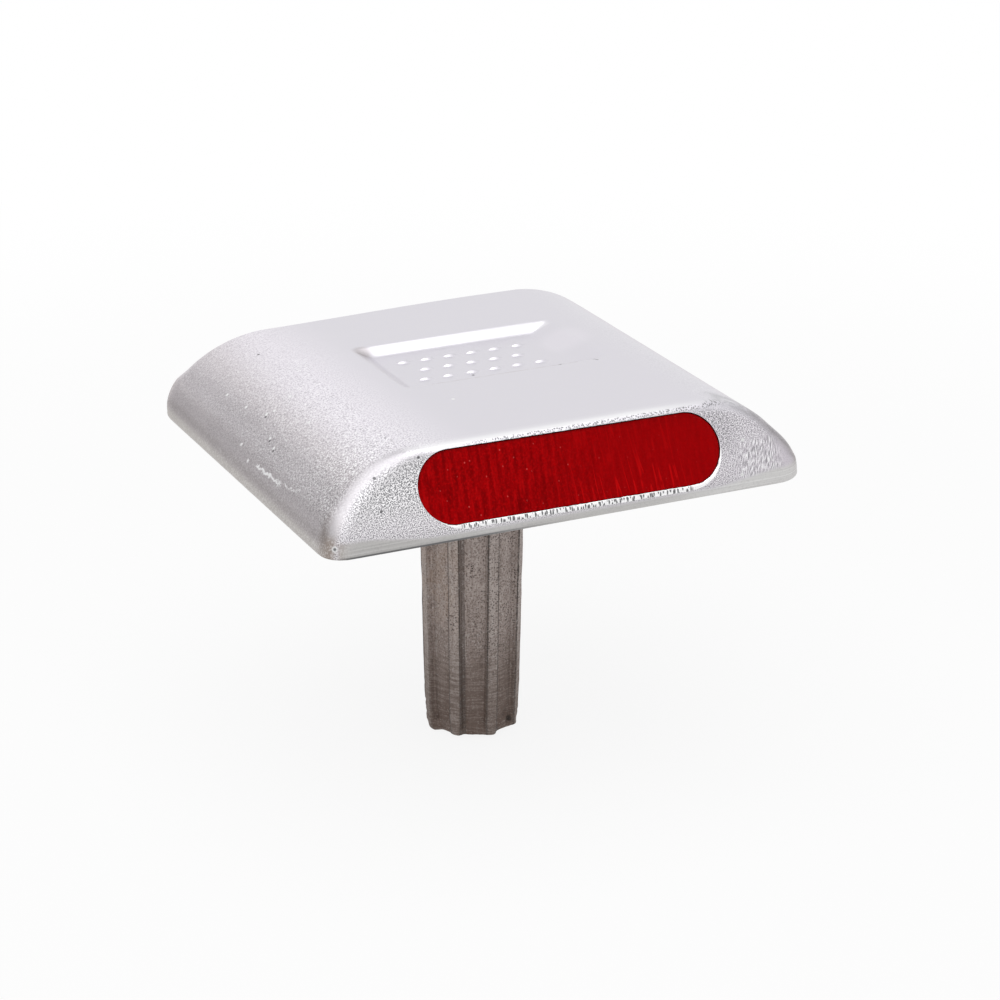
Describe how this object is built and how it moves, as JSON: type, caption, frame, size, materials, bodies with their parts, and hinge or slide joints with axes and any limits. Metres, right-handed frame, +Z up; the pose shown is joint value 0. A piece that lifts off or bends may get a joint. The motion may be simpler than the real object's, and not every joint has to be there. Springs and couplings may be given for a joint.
{
  "type": "road stud",
  "caption": "Low cast aluminium road stud with sloped sides, a flush red reflector lens in each end face and a ribbed shank that anchors it in the road.",
  "frame": {"origin": "centre of the underside, at road level", "axes": "+Z up out of the road, +X along the width, the front lens faces -Y"},
  "size_m": [0.1, 0.0928, 0.0777],
  "materials": {
    "cast_body": "bright silver-grey casting, satin on top and grainy on the end faces",
    "raw_shank": "raw grey-brown casting with drag lines and pits",
    "red_lens": "glossy deep red acrylic with upright prism columns",
    "backing": "plain moulded",
    "adhesive": "set epoxy"
  },
  "bodies": {
    "root": {"body_casting": "cast_body", "anchor_shank": "raw_shank", "front_lens": "red_lens", "rear_lens": "red_lens", "front_lens_backing": "backing", "rear_lens_backing": "backing", "front_adhesive_bed": "adhesive", "rear_adhesive_bed": "adhesive"}
  },
  "joints": []
}
